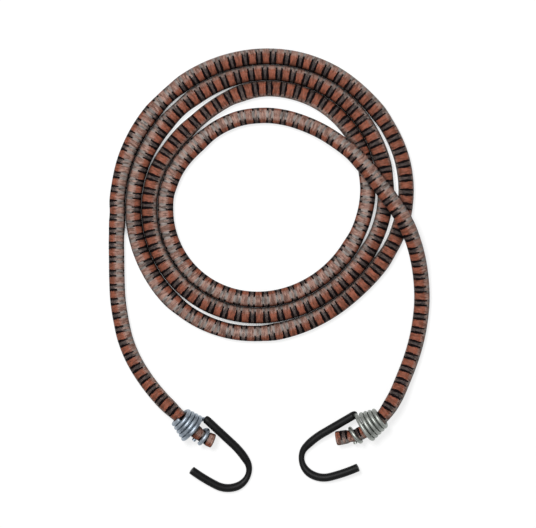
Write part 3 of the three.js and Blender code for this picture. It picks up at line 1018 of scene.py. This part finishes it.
def rubber_material():
    """Natural rubber, matt and dusted with talc."""
    rubber = Nodes("rubber_strand")
    dust = rubber.noise(RUBBER_DUST)
    rubber.set(Base_Color=rubber.colour(rubber.spread(dust), RUBBER, RUBBER_DUSTED))
    rubber.set(Roughness=rubber.spread(dust, *RUBBER_ROUGHNESS))
    rubber.bump(dust, *RUBBER_BUMP)
    return rubber.material


def floor_material():
    """White where it is seen or mirrored, with a faint shadow and painted shade in narrow crevices, and
    grey in the light thrown back.
    """
    floor = Nodes("pale_floor")
    rays = floor.add("ShaderNodeLightPath").outputs
    seen = floor.math("ADD", rays["Is Camera Ray"], rays["Is Glossy Ray"])
    seen = floor.math("MINIMUM", floor.math("ADD", seen, rays["Is Transmission Ray"]), 1.0)
    # Painted shade: where the floor is hemmed in, as in the slits between loops, its seen colour and glow
    # go dark
    seen = floor.times(seen, floor.remap(floor.openness(FLOOR_CREVICE_SHADE), FLOOR_LIT_LIMITS))
    floor.set(Base_Color=floor.colour(seen, FLOOR_BOUNCE, FLOOR_SEEN))
    floor.set(Emission_Color=WHITE, Emission_Strength=floor.times(seen, FLOOR_GLOW))
    floor.set(Roughness=1.0, Specular_IOR_Level=0.0)
    return floor.material


# Assembly
def finish_piece(piece, material):
    piece.data.materials.append(material)


def strand_nodes(stretch):
    return [f"strand_{i}_{stretch}" for i in range(1, STRAND_COUNT + 1)]


def add_coil(braid):
    sheath = sheath_piece("sheath_in_coil", route.coil_start, route.coil_end)
    finish_piece(sheath, braid)
    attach(sheath, "coil")
    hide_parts("sheath_coil", *strand_nodes("coil"))


def add_hook(side, zinc, vinyl):
    wire = hook_wire(side)
    sleeve = hook_sleeve(side)
    finish_piece(wire, zinc)
    finish_piece(sleeve, vinyl)
    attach(wire, f"{side}_hook")
    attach(sleeve, f"{side}_hook")
    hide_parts(f"hook_wire_{side}")
    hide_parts(f"hook_sleeve_{side}")
    return [wire, sleeve]


def add_clip(side, zinc):
    clip = clip_piece(side)
    finish_piece(clip, zinc)
    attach(clip, f"{side}_end")
    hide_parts(f"clip_{side}")
    return clip


def add_strands(side, rubber):
    strands = strand_ends(side)
    finish_piece(strands, rubber)
    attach(strands, f"{side}_end")
    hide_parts(*strand_nodes(f"{side}_stub"))
    return strands


def add_tail(side, braid):
    """The sheath from the coil to a cut end."""
    cut_ring, _ = route.cut_end(side)
    coil_ring = route.coil_start if side == "left" else route.coil_end
    first, last = sorted((cut_ring, coil_ring))
    tail = sheath_piece(f"sheath_{side}_end", first, last, cut_ring)
    finish_piece(tail, braid)
    start = Vector(route.centres[coil_ring])
    held = start.lerp(end_frame(side).translation, STRETCH_ENDS_AT)
    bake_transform(tail)
    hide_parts(f"sheath_{side}_tail", *strand_nodes(f"{side}_tail"), f"sheath_{side}_stub")
    path = route.path(first, last)
    if side == "left":
        path.reverse()


def add_cord():
    braid = Braid().material
    vinyl = vinyl_material()
    rubber = rubber_material()
    add_coil(braid)
    for side in ENDS:
        zinc = zinc_material(side)
        fittings = [*add_hook(side, zinc, vinyl), add_clip(side, zinc), add_strands(side, rubber)]
        add_tail(side, braid)


# Stage
def add_floor():
    mesh = bpy.data.meshes.new("floor")
    corners = [(-1, -1), (1, -1), (1, 1), (-1, 1)]
    mesh.from_pydata([(x * FLOOR_HALF, y * FLOOR_HALF, 0) for x, y in corners], [], [(0, 1, 2, 3)])
    mesh.materials.append(floor_material())
    make_object("floor", mesh)


def add_lamp(name, place, size, power):
    data = bpy.data.lights.new(name, "AREA")
    data.size = size
    data.energy = power
    lamp = make_object(name, data)
    lamp.location = place
    lamp.rotation_euler = (-Vector(place)).to_track_quat("-Z", "Y").to_euler()


def add_sky():
    """A white sky that is brighter in mirrors than as light."""
    world = bpy.data.worlds.new("world")
    world.use_nodes = True
    nodes, links = world.node_tree.nodes, world.node_tree.links
    sky = nodes["Background"]
    sky.inputs["Color"].default_value = WHITE
    rays = nodes.new("ShaderNodeLightPath")
    level = nodes.new("ShaderNodeMapRange")
    level.inputs["To Min"].default_value = SKY_LIGHT
    level.inputs["To Max"].default_value = SKY_MIRRORED
    links.new(rays.outputs["Is Glossy Ray"], level.inputs["Value"])
    links.new(level.outputs["Result"], sky.inputs["Strength"])
    bpy.context.scene.world = world


add_cord()
add_floor()
for lamp_name, lamp in LAMPS.items():
    add_lamp(lamp_name, *lamp)
add_sky()
bpy.context.scene.view_settings.view_transform = "Standard"
